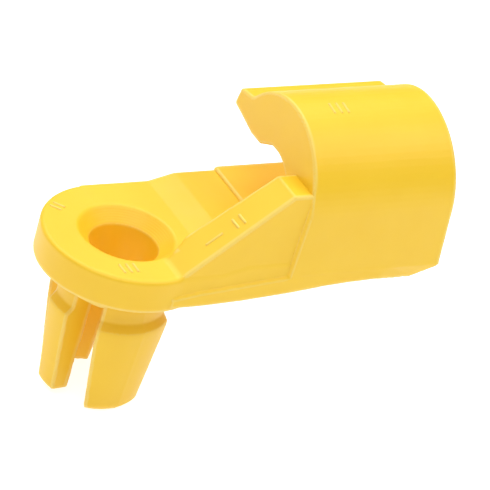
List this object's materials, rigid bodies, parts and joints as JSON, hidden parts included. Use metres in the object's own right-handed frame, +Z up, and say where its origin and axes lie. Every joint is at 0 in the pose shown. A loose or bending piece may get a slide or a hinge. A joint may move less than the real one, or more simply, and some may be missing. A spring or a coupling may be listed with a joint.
{
  "type": "rod retaining clip",
  "caption": "Rod retaining clip in flexible yellow plastic: round countersunk eye on split snap legs, flat arm with a ramp rib, and an open side-entry saddle that grips the rod.",
  "frame": {"origin": "centre of the rod hole, on the lever face under the eye plate", "axes": "+X runs along the held rod from the eye to the saddle, +Y is the open side of the saddle, +Z points up, away from the lever and the snap legs"},
  "size_m": [0.0348, 0.0151, 0.028],
  "materials": {
    "yellow_plastic": "satin injection-moulded acetal or nylon, slightly translucent, with paler thin edges and a fine moulded grain"
  },
  "bodies": {
    "root": {"eye_hub": "yellow_plastic", "eye_flange": "yellow_plastic", "arm_skirt": "yellow_plastic", "arm_deck": "yellow_plastic", "ramp_rib": "yellow_plastic", "saddle_floor": "yellow_plastic", "saddle_back": "yellow_plastic", "neck_ring": "yellow_plastic"},
    "upper_jaw": {"upper_jaw": "yellow_plastic", "snap_lip": "yellow_plastic"},
    "front_leg": {"front_leg": "yellow_plastic", "front_barb": "yellow_plastic"},
    "back_leg": {"back_leg": "yellow_plastic", "back_barb": "yellow_plastic"},
    "left_leg": {"left_leg": "yellow_plastic", "left_barb": "yellow_plastic"},
    "right_leg": {"right_leg": "yellow_plastic", "right_barb": "yellow_plastic"}
  },
  "joints": [
    {"name": "jaw_flex", "type": "hinge", "parent": "root", "child": "upper_jaw", "pos_m": [0.0197, -0.00754, 0.0074], "axis": [1, 0, 0], "range_deg": [0, 2.5], "stiffness_Nm_per_rad": 0.01},
    {"name": "front_leg_flex", "type": "hinge", "parent": "root", "child": "front_leg", "pos_m": [0.00028, -0.00319, -0.00125], "axis": [0.9962, 0.0872, 0], "range_deg": [0, 6.5], "stiffness_Nm_per_rad": 0.0005},
    {"name": "back_leg_flex", "type": "hinge", "parent": "root", "child": "back_leg", "pos_m": [-0.00028, 0.00319, -0.00125], "axis": [-0.9962, -0.0872, 0], "range_deg": [0, 6.5], "stiffness_Nm_per_rad": 0.0005},
    {"name": "left_leg_flex", "type": "hinge", "parent": "root", "child": "left_leg", "pos_m": [-0.00319, -0.00028, -0.00125], "axis": [0.0872, -0.9962, 0], "range_deg": [0, 6.5], "stiffness_Nm_per_rad": 0.0005},
    {"name": "right_leg_flex", "type": "hinge", "parent": "root", "child": "right_leg", "pos_m": [0.00319, 0.00028, -0.00125], "axis": [-0.0872, 0.9962, 0], "range_deg": [0, 6.5], "stiffness_Nm_per_rad": 0.0005}
  ],
  "couplings": [
    {"joint": "back_leg_flex", "follows": "front_leg_flex", "ratio": 1},
    {"joint": "left_leg_flex", "follows": "front_leg_flex", "ratio": 1},
    {"joint": "right_leg_flex", "follows": "front_leg_flex", "ratio": 1}
  ]
}
